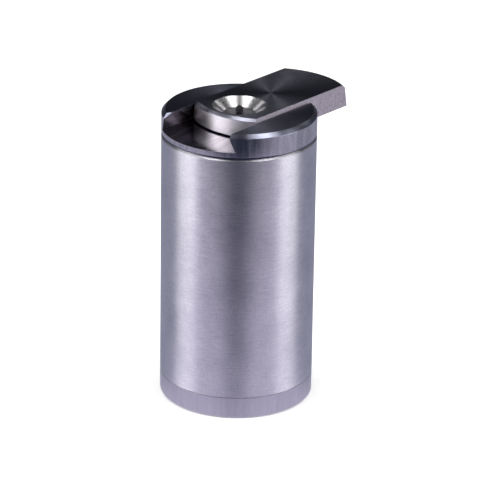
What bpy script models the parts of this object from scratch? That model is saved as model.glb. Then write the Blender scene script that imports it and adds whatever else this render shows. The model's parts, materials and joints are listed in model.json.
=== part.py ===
"""Laser collimator with a dovetail shutter: the solid parts, one object each.

A turned steel body stands on a screw-in battery cap. A steel cap on top carries a dovetail channel, and
a shutter slide in that channel carries the polished dish and the pinhole that the beam leaves through.
Inside, from the bottom up: battery spring, button cells, contact, driver board, laser diode, focusing
lens, tilt plate and protective window. Lengths are in millimetres, and MM turns them into metres.
The origin is the middle of the base, +Z points up the beam, and +X is the way the shutter slides out.
"""

import math

import bmesh
import bpy
from mathutils import Matrix, Vector

MM = 0.001
GAP = 0.3                       # clearance that neighbouring pieces keep

# Body: a 1.25 inch barrel
BODY_R = 15.875
SEAM_Z = 4.3                    # joint between the battery cap and the body
CAP_SEAM_Z = 56.87              # joint between the body and the slide cap
CAP_TOP_Z = 61.9
RIM_CHAMFER = 0.8               # on the slide cap's upper round edge
EDGE_BREAK = 0.15               # small chamfer on the other round edges
BORE_R = 12.95
SPIGOT_R = BORE_R - 0.35
GROOVE_R = 11.2                 # bottom of the O-ring grooves
O_RING_R = 12.05
O_RING_WIRE = 0.5
GROOVE_WIDTH = 1.7

# Battery cap
BASE_SPIGOT_TOP = 9.5
BASE_CUP_R = 6.5
BASE_CUP_Z = 3.0
BASE_O_RING_Z = 7.0
SPANNER_HOLE_X = 9.0
SPANNER_HOLE_R = 1.0
SPANNER_HOLE_DEPTH = 2.0

# Battery: three button cells in a plastic sleeve
CELL_R = 5.8
CELL_H = 5.2
CELL_COUNT = 3
CELL_Z = 8.0
SLEEVE_TOP = 25.2
SLEEVE_R = SPIGOT_R - 0.1       # outside of what is dropped into the body's bore
SLEEVE_FLANGE = 1.5
CONTACT_R = 4.0
BATTERY_SPRING_R = 4.4
BATTERY_SPRING_WIRE = 0.35

# Driver board and the tube that holds it down
BOARD_Z = SLEEVE_TOP + GAP
BOARD_H = 1.2
BOARD_R = 12.4
PARTS_Z = BOARD_Z + BOARD_H + GAP    # underside of what is soldered on the board
TUBE_WALL = 0.9

# Laser module
BARREL_R = 6.0
BARREL_Z = 29.5
BARREL_TOP = 47.5
DIODE_BASE_R = 2.8
DIODE_CAN_R = 1.8
DIODE_Z = 30.9
LEAD_R = 0.22
LEAD_X = 0.8
FOCUS_BORE_R = 4.6
FOCUS_FLOOR_Z = 35.3
CELL_RING_R = FOCUS_BORE_R - GAP
CELL_RING_Z = 40.3
CELL_RING_TOP = 46.0
LENS_R = 3.0
LENS_Z = 41.4
LENS_EDGE = 1.4
LENS_SAG = 1.0
LENS_SPRING_R = 3.7
LENS_SPRING_WIRE = 0.25

# Tilt plate, on an elastic ring and three screws over a web in the body
WEB_Z = 41.0
WEB_TOP = 43.0
WEB_R = 7.5
PLATE_Z = 44.8
PLATE_TOP = 47.7
TILT_SCREW_RING = 10.3
TILT_SCREW_ANGLES = (30.0, 150.0, 270.0)
TILT_SHANK_R = 0.95
TILT_HEAD_R = 1.9
TILT_HEAD_H = 1.2
TILT_HOLE_R = TILT_SHANK_R + 0.35
CLAMP_SCREW_R = 0.7
CLAMP_SCREW_END = 11.5          # its outer end, counted from the axis
PIVOT_RING_R = 8.4
PIVOT_RING_WIRE = 0.6

# Slide cap and its dovetail channel
DOVETAIL_SLOPE = 0.33           # sideways growth of the dovetail for each unit down
CHANNEL_HALF = 8.49             # half width of the channel's mouth
CHANNEL_FLOOR_Z = 58.18
CAP_SPIGOT_Z = 50.0
CAP_HOLLOW_R = 10.5
CAP_WEB_Z = 54.3
CAP_O_RING_Z = 55.75
BEAM_HOLE_R = 2.5
WINDOW_R = 6.0
WINDOW_Z = 51.7
WINDOW_H = 1.0
WINDOW_RING_R = 4.8
RETAINER_LIP_R = 3.5
RETAINER_LIP_H = 1.3

# Shutter slide, shown open with its dish on the beam
SLIDE_R = 16.4
SLIDE_CHAMFER = 0.6
SLIDE_X = 9.8                   # how far the open slide's middle stands from the beam
SLIDE_Z = 58.5
SLIDE_TOP = 62.63
SLIDE_HALF = 7.83               # half width of its top face
DISH_R = 5.59
DISH_FLOOR_R = 3.3
DISH_WALL_DEPTH = 1.8
DISH_DEPTH = 1.9
THROAT_R = 0.9
NOSE_R = 0.83                   # round black nose of the aperture insert
NOSE_SINK = 0.95                # its centre below the slide's top
PINHOLE_R = 0.2

# Stop pin and ball detent, under the slide on either side of the beam
TRACK_X = 8.0
TRACK_Y = 4.6
PIN_R = 1.0
PIN_Z = 55.2
PIN_TOP = 59.4
BALL_R = 0.8
BALL_Z = 57.9
POCKET_R = BALL_R + GAP
DIMPLE_R = 0.6
PLUG_TOP = CAP_WEB_Z + 1.0
DETENT_SPRING_R = 0.55
DETENT_SPRING_WIRE = 0.12

# Facets round a full turn
FINE = 64
MEDIUM = 28
SMALL = 18
TINY = 14


def clear_scene():
    for obj in list(bpy.data.objects):
        bpy.data.objects.remove(obj, do_unlink=True)


def new_collection(name):
    collection = bpy.data.collections.new(name)
    bpy.context.scene.collection.children.link(collection)
    return collection


clear_scene()
PARTS = new_collection("laser_collimator")
CUTTERS = new_collection("cutters")


def finish(name, colour, roughness, metallic):
    material = bpy.data.materials.new(name)
    material.use_nodes = True
    shader = material.node_tree.nodes["Principled BSDF"]
    shader.inputs["Base Color"].default_value = (*colour, 1.0)
    shader.inputs["Roughness"].default_value = roughness
    shader.inputs["Metallic"].default_value = metallic
    return material


def empty(name, location=(0, 0, 0), parent=None):
    obj = bpy.data.objects.new(name, None)
    obj.location = Vector(location) * MM
    obj.parent = parent
    obj.empty_display_size = 0.01
    PARTS.objects.link(obj)
    return obj


def place(obj, material, parent, collection=PARTS):
    collection.objects.link(obj)
    obj.parent = parent
    if collection == CUTTERS:
        obj.hide_render = True
        obj.display_type = "WIRE"
    elif material:
        obj.data.materials.append(material)
    return obj


def turned(name, profile, sides, material=None, at=(0, 0), parent=None, collection=PARTS):
    """A turned piece, its profile's (radius, height) points running down the outside.

    A profile that starts off the axis is a ring.
    """
    mesh = bpy.data.meshes.new(name)
    points = [(r * MM, 0.0, z * MM) for r, z in profile]
    edges = [(i, i + 1) for i in range(len(points) - 1)]
    if profile[0][0] > 0:
        edges.append((len(points) - 1, 0))
    mesh.from_pydata(points, edges, [])
    obj = bpy.data.objects.new(name, mesh)
    obj.location = (at[0] * MM, at[1] * MM, 0)
    place(obj, material, parent, collection)
    screw = obj.modifiers.new("turn", "SCREW")
    screw.axis = "Z"
    screw.angle = math.tau
    screw.steps = sides
    screw.render_steps = sides
    screw.use_merge_vertices = True
    screw.merge_threshold = 0.00001
    screw.use_smooth_shade = True
    return obj


def cylinder(r, low, high):
    return [(0, high), (r, high), (r, low), (0, low)]


def ring(inner, outer, low, high):
    return [(inner, high), (outer, high), (outer, low), (inner, low)]


def box(name, centre, size, material=None, parent=None, collection=PARTS):
    mesh = bpy.data.meshes.new(name)
    bm = bmesh.new()
    bmesh.ops.create_cube(bm, size=1.0)
    bmesh.ops.scale(bm, vec=Vector(size) * MM, verts=bm.verts)
    bm.to_mesh(mesh)
    bm.free()
    obj = bpy.data.objects.new(name, mesh)
    obj.location = Vector(centre) * MM
    return place(obj, material, parent, collection)


def dovetail(name, half, level, low, high, x_from, x_to):
    """A bar along X whose sides lean out downward: half is its half width at the height level."""
    obj = box(name, ((x_from + x_to) / 2, 0, 0), (x_to - x_from, 2, high - low), collection=CUTTERS)
    for vertex in obj.data.vertices:
        z = high if vertex.co.z > 0 else low
        reach = half + DOVETAIL_SLOPE * (level - z)
        vertex.co.y = math.copysign(reach * MM, vertex.co.y)
        vertex.co.z = z * MM
    return obj


def boolean(obj, cutter, operation="DIFFERENCE"):
    modifier = obj.modifiers.new(cutter.name, "BOOLEAN")
    modifier.object = cutter
    modifier.operation = operation
    modifier.solver = "EXACT"


def drill(obj, name, r, low, high, at, sides=SMALL):
    boolean(obj, turned(name, cylinder(r, low, high), sides, at=at, collection=CUTTERS))


def o_ring(name, z, parent, major=O_RING_R, wire=O_RING_WIRE, sides=MEDIUM):
    steps = 8
    angles = [-math.tau * i / steps for i in range(steps)]
    profile = [(major + wire * math.cos(a), z + wire * math.sin(a)) for a in angles]
    return turned(name, profile, sides, RUBBER, parent=parent)


def coil(name, radius, wire, low, high, turns, material, at=(0, 0), parent=None, per_turn=12):
    """A wire spring between two heights, its first and last turns wound nearly closed."""
    curve = bpy.data.curves.new(name, "CURVE")
    curve.dimensions = "3D"
    curve.bevel_depth = wire * MM
    curve.bevel_resolution = 2
    curve.use_fill_caps = True
    count = round(turns * per_turn) + 1
    spline = curve.splines.new("POLY")
    spline.points.add(count - 1)
    bottom, top = low + wire, high - wire
    end_turns = 0.75
    end_rise = 2.2 * wire
    for i, point in enumerate(spline.points):
        turn = i / per_turn
        rise = min(max((turn - end_turns) / (turns - 2 * end_turns), 0.0), 1.0)
        z = bottom + end_rise * min(turn / end_turns, 1.0) + (top - bottom - 2 * end_rise) * rise
        z += end_rise * max((turn - turns + end_turns) / end_turns, 0.0)
        angle = math.tau * turn
        point.co = (radius * math.cos(angle) * MM, radius * math.sin(angle) * MM, z * MM, 1.0)
    obj = bpy.data.objects.new(name, curve)
    obj.location = (at[0] * MM, at[1] * MM, 0)
    return place(obj, material, parent)


def evaluated_mesh(obj):
    """The object's mesh with its modifiers applied."""
    bpy.context.view_layer.update()
    depsgraph = bpy.context.evaluated_depsgraph_get()
    return bpy.data.meshes.new_from_object(obj.evaluated_get(depsgraph))


STEEL = finish("turned_steel", (0.55, 0.55, 0.60), 0.32, 1.0)
POLISHED = finish("polished_steel", (0.75, 0.74, 0.78), 0.12, 1.0)
RUBBER = finish("black_rubber", (0.02, 0.02, 0.02), 0.7, 0.0)
SPRING_STEEL = finish("spring_steel", (0.6, 0.6, 0.6), 0.3, 1.0)
NICKEL = finish("nickel_plate", (0.72, 0.70, 0.66), 0.25, 1.0)
PLASTIC = finish("black_plastic", (0.03, 0.03, 0.035), 0.5, 0.0)
BOARD = finish("green_board", (0.02, 0.16, 0.07), 0.45, 0.0)
CERAMIC = finish("component_black", (0.04, 0.04, 0.04), 0.4, 0.0)
BRASS = finish("brass", (0.78, 0.60, 0.30), 0.3, 1.0)
GLASS = finish("coated_glass", (0.75, 0.80, 0.88), 0.03, 0.0)
BLACK_METAL = finish("black_anodised", (0.015, 0.013, 0.018), 0.45, 0.6)

axis = empty("collimator_axis")
base_axis = empty("base_cap_axis", parent=axis)
lens_axis = empty("lens_cell_axis", parent=axis)
slide_axis = empty("shutter_axis", parent=axis)


def base_cap():
    half_groove = GROOVE_WIDTH / 2
    top = SEAM_Z - GAP / 2
    obj = turned("base_cap", [
        (0, BASE_CUP_Z),
        (BASE_CUP_R, BASE_CUP_Z),
        (BASE_CUP_R, BASE_SPIGOT_TOP),
        (SPIGOT_R, BASE_SPIGOT_TOP),
        (SPIGOT_R, BASE_O_RING_Z + half_groove),
        (GROOVE_R, BASE_O_RING_Z + half_groove),
        (GROOVE_R, BASE_O_RING_Z - half_groove),
        (SPIGOT_R, BASE_O_RING_Z - half_groove),
        (SPIGOT_R, top),
        (BODY_R - EDGE_BREAK, top),
        (BODY_R, top - EDGE_BREAK),
        (BODY_R, 2 * EDGE_BREAK),
        (BODY_R - 2 * EDGE_BREAK, 0),
        (0, 0),
    ], FINE, STEEL, parent=base_axis)
    for side in (-1, 1):
        x = side * SPANNER_HOLE_X
        drill(obj, f"spanner_hole_{x:+.0f}", SPANNER_HOLE_R, -1, SPANNER_HOLE_DEPTH, (x, 0), TINY)
    o_ring("base_cap_o_ring", BASE_O_RING_Z, base_axis)
    coil("battery_spring", BATTERY_SPRING_R, BATTERY_SPRING_WIRE, BASE_CUP_Z + GAP, CELL_Z - GAP, 3.5,
         SPRING_STEEL, parent=base_axis)


def battery():
    for i in range(CELL_COUNT):
        low = CELL_Z + i * (CELL_H + GAP)
        top = low + CELL_H
        turned(f"button_cell_{i + 1}", [
            (0, top),
            (CELL_R - 0.9, top),
            (CELL_R - 0.7, top - 0.3),
            (CELL_R, top - 0.5),
            (CELL_R, low + 0.3),
            (CELL_R - 0.3, low),
            (0, low),
        ], SMALL, NICKEL, parent=axis)
    inner = CELL_R + 0.35
    tube = inner + 1.25
    low = BASE_SPIGOT_TOP + GAP
    turned("battery_sleeve", [
        (inner, SLEEVE_TOP),
        (SLEEVE_R, SLEEVE_TOP),
        (SLEEVE_R, SLEEVE_TOP - SLEEVE_FLANGE),
        (tube, SLEEVE_TOP - SLEEVE_FLANGE),
        (tube, low + SLEEVE_FLANGE),
        (SLEEVE_R, low + SLEEVE_FLANGE),
        (SLEEVE_R, low),
        (inner, low),
    ], MEDIUM, PLASTIC, parent=axis)
    stack_top = CELL_Z + CELL_COUNT * (CELL_H + GAP) - GAP
    turned("contact_plate", cylinder(CONTACT_R, stack_top + GAP, SLEEVE_TOP), SMALL, BRASS, parent=axis)


def driver():
    turned("driver_board", cylinder(BOARD_R, BOARD_Z, BOARD_Z + BOARD_H), MEDIUM, BOARD, parent=axis)
    chip = Vector((4.0, 5.0, 1.0))
    resistor = Vector((2.0, 1.25, 0.6))
    box("driver_chip", (8.0, 0, PARTS_Z + chip.z / 2), chip, CERAMIC, axis)
    box("driver_resistor", (-6, -5, PARTS_Z + resistor.z / 2), resistor, CERAMIC, axis)
    turned("driver_capacitor", cylinder(1.6, PARTS_Z, PARTS_Z + 2.2), TINY, NICKEL, at=(-6, 5), parent=axis)
    tube = ring(SLEEVE_R - TUBE_WALL, SLEEVE_R, PARTS_Z, WEB_Z - GAP)
    turned("spacer_tube", tube, MEDIUM, PLASTIC, parent=axis)


def laser_module():
    rear_bore = DIODE_BASE_R + GAP
    can_bore = DIODE_CAN_R + 0.4
    shoulder_z = DIODE_Z + 1.6
    turned("laser_barrel", [
        (FOCUS_BORE_R, BARREL_TOP),
        (BARREL_R, BARREL_TOP),
        (BARREL_R, BARREL_Z),
        (rear_bore, BARREL_Z),
        (rear_bore, shoulder_z),
        (can_bore, shoulder_z),
        (can_bore, FOCUS_FLOOR_Z),
        (FOCUS_BORE_R, FOCUS_FLOOR_Z),
    ], MEDIUM, BRASS, parent=axis)
    turned("diode_ring", ring(1.6, DIODE_BASE_R, BARREL_Z, DIODE_Z - GAP), SMALL, BRASS, parent=axis)
    base_top = DIODE_Z + 1.2
    turned("laser_diode", [
        (0, base_top + 2.8),
        (DIODE_CAN_R, base_top + 2.8),
        (DIODE_CAN_R, base_top),
        (DIODE_BASE_R, base_top),
        (DIODE_BASE_R, DIODE_Z),
        (0, DIODE_Z),
    ], SMALL, NICKEL, parent=axis)
    for i, x in enumerate((-LEAD_X, LEAD_X)):
        lead = cylinder(LEAD_R, PARTS_Z, DIODE_Z - GAP)
        turned(f"diode_lead_{i + 1}", lead, 8, NICKEL, at=(x, 0), parent=axis)
    coil("lens_spring", LENS_SPRING_R, LENS_SPRING_WIRE, FOCUS_FLOOR_Z + GAP, CELL_RING_Z - GAP, 4,
         SPRING_STEEL, parent=axis)


def lens_cell():
    seat = LENS_Z - GAP
    bore = LENS_R + GAP
    cell = turned("lens_cell", [
        (bore, CELL_RING_TOP),
        (CELL_RING_R, CELL_RING_TOP),
        (CELL_RING_R, CELL_RING_Z),
        (LENS_R - 0.6, CELL_RING_Z),
        (LENS_R - 0.6, seat),
        (bore, seat),
    ], MEDIUM, BRASS, parent=lens_axis)
    slot_depth = 0.8
    slot = box("lens_cell_slot", (0, 0, CELL_RING_TOP), (12, 0.9, 2 * slot_depth), collection=CUTTERS)
    boolean(cell, slot)
    edge_top = LENS_Z + LENS_EDGE
    curve_r = (LENS_R ** 2 + LENS_SAG ** 2) / (2 * LENS_SAG)
    steps = 6
    radii = [LENS_R * i / steps for i in range(steps + 1)]
    crown = [(r, edge_top + LENS_SAG - curve_r + math.sqrt(curve_r ** 2 - r ** 2)) for r in radii]
    turned("collimating_lens", crown + [(LENS_R, LENS_Z), (0, LENS_Z)], SMALL, GLASS, parent=lens_axis)
    low = edge_top + LENS_SAG + GAP
    turned("lens_retainer", ring(2.2, LENS_R, low, low + 0.8), SMALL, BRASS, parent=lens_axis)


def tilt_screw_places():
    for angle in TILT_SCREW_ANGLES:
        turn = math.radians(angle)
        yield TILT_SCREW_RING * math.cos(turn), TILT_SCREW_RING * math.sin(turn)


def tilt_plate():
    flat_ring = ring(BARREL_R + GAP, SLEEVE_R, PLATE_Z, PLATE_TOP)
    plate = turned("tilt_plate", flat_ring, MEDIUM, STEEL, parent=axis)
    for i, place_xy in enumerate(tilt_screw_places()):
        drill(plate, f"tilt_hole_{i + 1}", TILT_HOLE_R, PLATE_Z - 1, PLATE_TOP + 1, place_xy, TINY)
    middle = (PLATE_Z + PLATE_TOP) / 2
    across = Matrix.Translation(Vector((0, 0, middle)) * MM) @ Matrix.Rotation(-math.pi / 2, 4, "X")
    through = cylinder(CLAMP_SCREW_R + GAP, BARREL_R - 2, SPIGOT_R + 2)
    bore = turned("clamp_screw_hole", through, SMALL, collection=CUTTERS)
    bore.matrix_world = across
    boolean(plate, bore)
    shank = cylinder(CLAMP_SCREW_R, BARREL_R + GAP, CLAMP_SCREW_END)
    screw = turned("clamp_screw", shank, TINY, SPRING_STEEL)
    screw.matrix_world = across
    ring_z = WEB_TOP + GAP + PIVOT_RING_WIRE
    o_ring("pivot_o_ring", ring_z, axis, major=PIVOT_RING_R, wire=PIVOT_RING_WIRE)


def tilt_screws():
    """Three equal screws that share one mesh, each turning about its own axis."""
    head_low = PLATE_TOP + GAP
    head_top = head_low + TILT_HEAD_H
    pattern = turned("tilt_screw_pattern", [
        (0, head_top),
        (TILT_HEAD_R, head_top),
        (TILT_HEAD_R, head_low),
        (TILT_SHANK_R, head_low),
        (TILT_SHANK_R, WEB_Z + GAP),
        (0, WEB_Z + GAP),
    ], TINY, SPRING_STEEL)
    slot = box("tilt_screw_slot", (0, 0, head_top), (6, 0.6, 1.0), collection=CUTTERS)
    boolean(pattern, slot)
    mesh = evaluated_mesh(pattern)
    bpy.data.objects.remove(pattern, do_unlink=True)
    bpy.data.objects.remove(slot, do_unlink=True)
    for i, (x, y) in enumerate(tilt_screw_places()):
        screw = bpy.data.objects.new(f"tilt_screw_{i + 1}", mesh)
        screw.location = (x * MM, y * MM, 0)
        screw.parent = axis
        PARTS.objects.link(screw)


def body_tube():
    low = SEAM_Z + GAP / 2
    top = CAP_SEAM_Z - GAP / 2
    top_break = 0.4
    body = turned("body_tube", [
        (BORE_R, top),
        (BODY_R - top_break, top),
        (BODY_R, top - top_break),
        (BODY_R, low + EDGE_BREAK),
        (BODY_R - EDGE_BREAK, low),
        (BORE_R, low),
        (BORE_R, WEB_Z),
        (WEB_R, WEB_Z),
        (WEB_R, WEB_TOP),
        (BORE_R, WEB_TOP),
    ], FINE, STEEL, parent=axis)
    for i, place_xy in enumerate(tilt_screw_places()):
        drill(body, f"web_hole_{i + 1}", TILT_HOLE_R, WEB_Z - 1, WEB_TOP + 1, place_xy, TINY)


def slide_cap():
    low = CAP_SEAM_Z + GAP / 2
    half_groove = GROOVE_WIDTH / 2
    cap = turned("slide_cap", [
        (0, CAP_TOP_Z),
        (BODY_R - RIM_CHAMFER, CAP_TOP_Z),
        (BODY_R, CAP_TOP_Z - RIM_CHAMFER),
        (BODY_R, low + EDGE_BREAK),
        (BODY_R - EDGE_BREAK, low),
        (SPIGOT_R, low),
        (SPIGOT_R, CAP_O_RING_Z + half_groove),
        (GROOVE_R, CAP_O_RING_Z + half_groove),
        (GROOVE_R, CAP_O_RING_Z - half_groove),
        (SPIGOT_R, CAP_O_RING_Z - half_groove),
        (SPIGOT_R, CAP_SPIGOT_Z),
        (CAP_HOLLOW_R, CAP_SPIGOT_Z),
        (CAP_HOLLOW_R, CAP_WEB_Z),
        (0, CAP_WEB_Z),
    ], FINE, STEEL, parent=axis)
    reach = BODY_R + 4
    low, high = CHANNEL_FLOOR_Z, CAP_TOP_Z + 2
    channel = dovetail("dovetail_channel", CHANNEL_HALF, CAP_TOP_Z, low, high, -reach, reach)
    boolean(cap, channel)
    drill(cap, "beam_hole", BEAM_HOLE_R, CAP_WEB_Z - 1, CHANNEL_FLOOR_Z + 1, (0, 0))
    drill(cap, "detent_pocket", POCKET_R, CAP_WEB_Z - 1, CHANNEL_FLOOR_Z + 1, (TRACK_X, TRACK_Y), TINY)
    drill(cap, "pin_hole", PIN_R + GAP, PIN_Z - GAP, CHANNEL_FLOOR_Z + 1, (TRACK_X, -TRACK_Y), TINY)
    o_ring("cap_o_ring", CAP_O_RING_Z, axis)


def window():
    window_top = WINDOW_Z + WINDOW_H
    turned("protective_window", cylinder(WINDOW_R, WINDOW_Z, window_top), MEDIUM, GLASS, parent=axis)
    ring_z = window_top + GAP + O_RING_WIRE
    o_ring("window_o_ring", ring_z, axis, major=WINDOW_RING_R, sides=SMALL)
    outer = CAP_HOLLOW_R - GAP
    inner = WINDOW_R + GAP
    turned("window_retainer", [
        (inner, window_top),
        (outer, window_top),
        (outer, WINDOW_Z - RETAINER_LIP_H),
        (RETAINER_LIP_R, WINDOW_Z - RETAINER_LIP_H),
        (RETAINER_LIP_R, WINDOW_Z - GAP),
        (inner, WINDOW_Z - GAP),
    ], MEDIUM, BLACK_METAL, parent=axis)


def detent_and_stop():
    turned("slide_stop_pin", [
        (0, PIN_TOP),
        (PIN_R - 0.2, PIN_TOP),
        (PIN_R, PIN_TOP - 0.2),
        (PIN_R, PIN_Z),
        (0, PIN_Z),
    ], TINY, SPRING_STEEL, at=(TRACK_X, -TRACK_Y), parent=axis)
    steps = 8
    angles = [math.pi * i / steps for i in range(steps + 1)]
    sphere = [(BALL_R * math.sin(a), BALL_R * math.cos(a)) for a in angles]
    sphere[0] = (0, BALL_R)
    sphere[-1] = (0, -BALL_R)
    ball = turned("detent_ball", sphere, TINY, POLISHED, at=(TRACK_X, TRACK_Y), parent=axis)
    ball.location.z = BALL_Z * MM
    spring_top = BALL_Z - BALL_R - 0.1
    coil("detent_spring", DETENT_SPRING_R, DETENT_SPRING_WIRE, PLUG_TOP + GAP, spring_top, 3, SPRING_STEEL,
         (TRACK_X, TRACK_Y), axis)
    plug = cylinder(BALL_R, CAP_WEB_Z, PLUG_TOP)
    turned("detent_plug", plug, TINY, BRASS, at=(TRACK_X, TRACK_Y), parent=axis)


def shutter_slide():
    """A chamfered disc cut to a dovetail bar, with the dish and throat, and two tracks beneath."""
    slide = turned("shutter_slide", [
        (0, SLIDE_TOP),
        (SLIDE_R - SLIDE_CHAMFER, SLIDE_TOP),
        (SLIDE_R, SLIDE_TOP - SLIDE_CHAMFER),
        (SLIDE_R, SLIDE_Z),
        (0, SLIDE_Z),
    ], FINE, STEEL, at=(SLIDE_X, 0), parent=slide_axis)
    x_from, x_to = SLIDE_X - SLIDE_R - 2, SLIDE_X + SLIDE_R + 2
    bar = dovetail("slide_bar", SLIDE_HALF, SLIDE_TOP, SLIDE_Z - 1, SLIDE_TOP + 1, x_from, x_to)
    boolean(slide, bar, "INTERSECT")
    rise = (DISH_R - DISH_FLOOR_R) / DISH_WALL_DEPTH
    dish = turned("dish", [
        (0, SLIDE_TOP + 1),
        (DISH_R + rise, SLIDE_TOP + 1),
        (DISH_FLOOR_R, SLIDE_TOP - DISH_WALL_DEPTH),
        (THROAT_R, SLIDE_TOP - DISH_DEPTH),
        (THROAT_R, SLIDE_Z - 1),
        (0, SLIDE_Z - 1),
    ], MEDIUM, collection=CUTTERS)
    boolean(slide, dish)
    track(slide, "stop_track", -TRACK_Y, PIN_R + GAP, PIN_TOP + GAP)
    track(slide, "detent_track", TRACK_Y, POCKET_R, BALL_Z + BALL_R + GAP)
    for x in (TRACK_X, TRACK_X + SLIDE_X):
        top = BALL_Z + BALL_R + 2 * GAP
        drill(slide, f"detent_dimple_{x:.0f}", DIMPLE_R, SLIDE_Z, top, (x, TRACK_Y), TINY)
    nose_z = SLIDE_TOP - NOSE_SINK
    stem_r = THROAT_R - 0.35
    steps = 7
    start = math.asin(PINHOLE_R / NOSE_R)
    end = math.pi - math.asin(stem_r / NOSE_R)
    angles = [start + (end - start) * i / steps for i in range(steps + 1)]
    nose = [(NOSE_R * math.sin(a), nose_z + NOSE_R * math.cos(a)) for a in angles]
    low = SLIDE_Z + 0.1
    profile = nose + [(stem_r, low), (PINHOLE_R, low)]
    turned("aperture_insert", profile, SMALL, BLACK_METAL, parent=slide_axis)


def track(slide, name, y, half_width, ceiling):
    """A straight blind groove with round ends in the slide's underside, as long as the travel."""
    low = SLIDE_Z - 1
    middle = (TRACK_X + SLIDE_X / 2, y, (low + ceiling) / 2)
    boolean(slide, box(name, middle, (SLIDE_X, 2 * half_width, ceiling - low), collection=CUTTERS))
    for end, x in (("start", TRACK_X), ("end", TRACK_X + SLIDE_X)):
        drill(slide, f"{name}_{end}", half_width, low, ceiling, (x, y), TINY)


base_cap()
battery()
driver()
laser_module()
lens_cell()
tilt_plate()
tilt_screws()
body_tube()
slide_cap()
window()
detent_and_stop()
shutter_slide()
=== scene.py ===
import json
import math

import bmesh
import bpy
from mathutils import Matrix, Vector


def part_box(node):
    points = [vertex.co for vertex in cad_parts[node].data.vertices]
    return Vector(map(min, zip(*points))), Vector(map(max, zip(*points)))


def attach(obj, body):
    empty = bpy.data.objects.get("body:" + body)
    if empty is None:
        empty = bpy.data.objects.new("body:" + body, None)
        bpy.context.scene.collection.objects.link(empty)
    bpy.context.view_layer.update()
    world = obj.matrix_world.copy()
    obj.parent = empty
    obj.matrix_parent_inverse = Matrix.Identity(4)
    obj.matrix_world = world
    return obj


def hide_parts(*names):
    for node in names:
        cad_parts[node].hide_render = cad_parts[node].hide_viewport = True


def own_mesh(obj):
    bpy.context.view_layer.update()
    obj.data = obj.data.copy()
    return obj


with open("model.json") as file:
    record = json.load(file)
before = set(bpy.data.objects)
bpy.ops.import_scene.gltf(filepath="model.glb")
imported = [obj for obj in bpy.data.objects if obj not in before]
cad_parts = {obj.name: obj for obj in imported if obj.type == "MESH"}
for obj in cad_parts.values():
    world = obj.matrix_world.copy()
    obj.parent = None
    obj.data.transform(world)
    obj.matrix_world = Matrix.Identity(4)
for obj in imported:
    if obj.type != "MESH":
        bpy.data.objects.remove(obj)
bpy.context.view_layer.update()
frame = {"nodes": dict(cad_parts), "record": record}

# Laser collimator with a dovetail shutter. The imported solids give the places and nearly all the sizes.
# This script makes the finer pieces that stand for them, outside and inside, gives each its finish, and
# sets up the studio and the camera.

MM = 0.001

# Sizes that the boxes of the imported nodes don't give
GAP = 0.3 * MM                  # between neighbouring pieces
EDGE_BREAK = 0.15 * MM
FINE_BREAK = 0.06 * MM
BODY_TOP_BREAK = 0.4 * MM
RIM_CHAMFER = 0.8 * MM
SLIDE_CHAMFER = 0.6 * MM
SEAM = 0.03 * MM                # the fine line that two screwed pieces leave between them
BORE_R = 12.95 * MM
SPIGOT_R = 12.6 * MM            # the part of each cap that screws into the bore
GROOVE_R = 11.2 * MM
GROOVE_HALF = 0.85 * MM
WEB_R = 7.5 * MM
WEB_Z = 41.0 * MM
WEB_TOP = 43.0 * MM
WEB_HOLE_R = 1.3 * MM
CUP_R = 6.5 * MM                # the hollow in the base cap, round the battery spring
CUP_Z = 3.0 * MM
SPANNER_X = 9.0 * MM            # the two spanner holes in the base
SPANNER_R = 1.0 * MM
SPANNER_DEPTH = 2.0 * MM
SLOPE = 0.33                    # sideways growth of the dovetail for each unit down
CHANNEL_HALF = 8.49 * MM
CHANNEL_FLOOR_Z = 58.18 * MM
CAP_HOLLOW_R = 10.5 * MM
CAP_WEB_Z = 54.3 * MM
BEAM_HOLE_R = 2.5 * MM
WORN_LENGTH = 2.4 * MM          # the small flat filed on one upper corner of the channel's mouth
WORN_WIDTH = 1.35 * MM
WORN_DEPTH = 1.45 * MM
DISH_R = 5.59 * MM
DISH_RIM = 0.1 * MM
DISH_FLOOR_R = 3.3 * MM
DISH_WALL_DEPTH = 1.8 * MM
DISH_DEPTH = 1.9 * MM
DISH_BLEND = 0.3 * MM           # how far the dish's floor is blended into its wall
THROAT_R = 0.9 * MM
NOSE_R = 0.83 * MM              # the round black nose in the dish's throat
NOSE_DEPTH = 0.95 * MM          # its centre, below the slide's top
STEM_R = 0.55 * MM
PINHOLE_R = 0.2 * MM
BATTERY_SPRING_WIRE = 0.35 * MM
LENS_SPRING_WIRE = 0.25 * MM
DETENT_SPRING_WIRE = 0.12 * MM
DIMPLE_R = 0.6 * MM
CHIP_BREAK = 0.08 * MM

FINE = 256                      # sides of the turned outer surfaces
FLAT = 0.01                     # a face normal's share along an axis that counts as none
TURNED_SHARP = 12.0             # degrees between faces that show as an edge
WIRE_SHARP = 40.0
NOISE_LOW, NOISE_HIGH = 0.3, 0.7        # the range that a noise texture mostly stays in
MERGE = 0.0001 * MM             # points closer than this are one
ON_AXIS = 0.001 * MM            # a point closer than this to the axis is on it
STRAIGHT = 0.02                 # a bend of fewer radians than this isn't a corner


# --------------------------------------------------------------------------- meshes

def bend(before, corner, after, width, steps=3):
    """The points of a corner that is rounded over about this width."""
    before, corner, after = Vector(before), Vector(corner), Vector(after)
    back, ahead = before - corner, after - corner
    start = corner + back.normalized() * min(width, back.length * 0.4)
    end = corner + ahead.normalized() * min(width, ahead.length * 0.4)
    shares = [k / steps for k in range(steps + 1)]
    return [start * (1 - t) ** 2 + corner * 2 * t * (1 - t) + end * t ** 2 for t in shares]


def softened(profile, width=FINE_BREAK):
    """The profile with each corner off the axis rounded."""
    closed = profile[0][0] > 0
    last = len(profile) - 1
    points = []
    for i, corner in enumerate(profile):
        if corner[0] == 0 or (not closed and i in (0, last)):
            points.append(corner)
        else:
            points += bend(profile[i - 1], corner, profile[(i + 1) % (last + 1)], width)
    return points


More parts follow.
